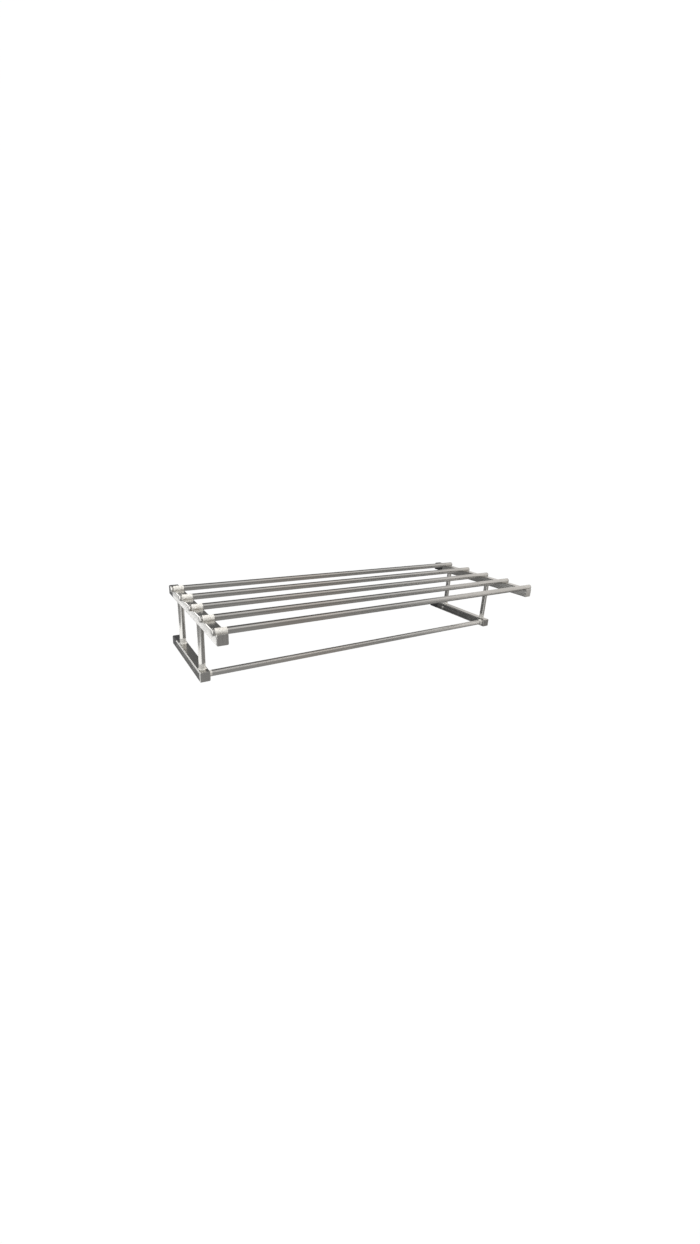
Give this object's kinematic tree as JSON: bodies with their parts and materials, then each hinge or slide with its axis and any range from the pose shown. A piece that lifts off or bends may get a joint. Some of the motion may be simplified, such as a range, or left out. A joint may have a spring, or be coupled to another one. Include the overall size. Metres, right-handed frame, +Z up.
{
  "type": "wall-mounted towel rack",
  "caption": "Wall-mounted towel rack: a slatted shelf of round rods on square side arms, with a lower towel bar held by short round posts between upper and lower arms.",
  "frame": {"origin": "on the wall plane, midway between the four wall brackets", "axes": "+X along the rods, from left to right as seen from the front; +Y into the wall, so the rack stands out along -Y; +Z up"},
  "size_m": [0.61, 0.25, 0.1091],
  "materials": {
    "arm_steel": "satin, brushed along the tube",
    "arm_plug_steel": "satin",
    "rod_steel": "satin, brushed along the tube",
    "rod_plug_steel": "satin",
    "post_steel": "satin, dressed bright round the welds",
    "towel_bar_steel": "satin, brushed along the tube",
    "bracket_metal": "zinc plated",
    "wall_cover_plastic": "fine matt grain",
    "screw_steel": "bright"
  },
  "bodies": {
    "root": {"arm_upper_left": "arm_steel", "arm_upper_right": "arm_steel", "arm_lower_left": "arm_steel", "arm_lower_right": "arm_steel", "arm_plug_upper_left": "arm_plug_steel", "arm_plug_upper_right": "arm_plug_steel", "arm_plug_lower_left": "arm_plug_steel", "arm_plug_lower_right": "arm_plug_steel", "shelf_rod_1": "rod_steel", "shelf_rod_2": "rod_steel", "shelf_rod_3": "rod_steel", "shelf_rod_4": "rod_steel", "shelf_rod_5": "rod_steel", "rod_plug_1_left": "rod_plug_steel", "rod_plug_1_right": "rod_plug_steel", "rod_plug_2_left": "rod_plug_steel", "rod_plug_2_right": "rod_plug_steel", "rod_plug_3_left": "rod_plug_steel", "rod_plug_3_right": "rod_plug_steel", "rod_plug_4_left": "rod_plug_steel", "rod_plug_4_right": "rod_plug_steel", "rod_plug_5_left": "rod_plug_steel", "rod_plug_5_right": "rod_plug_steel", "post_rear_left": "post_steel", "post_rear_right": "post_steel", "post_front_left": "post_steel", "post_front_right": "post_steel", "towel_bar": "towel_bar_steel", "wall_bracket_upper_left": "bracket_metal", "wall_bracket_upper_right": "bracket_metal", "wall_bracket_lower_left": "bracket_metal", "wall_bracket_lower_right": "bracket_metal", "wall_cover_upper_left": "wall_cover_plastic", "wall_cover_upper_right": "wall_cover_plastic", "wall_cover_lower_left": "wall_cover_plastic", "wall_cover_lower_right": "wall_cover_plastic", "retaining_screw_upper_left": "screw_steel", "retaining_screw_upper_right": "screw_steel", "retaining_screw_lower_left": "screw_steel", "retaining_screw_lower_right": "screw_steel"}
  },
  "joints": []
}
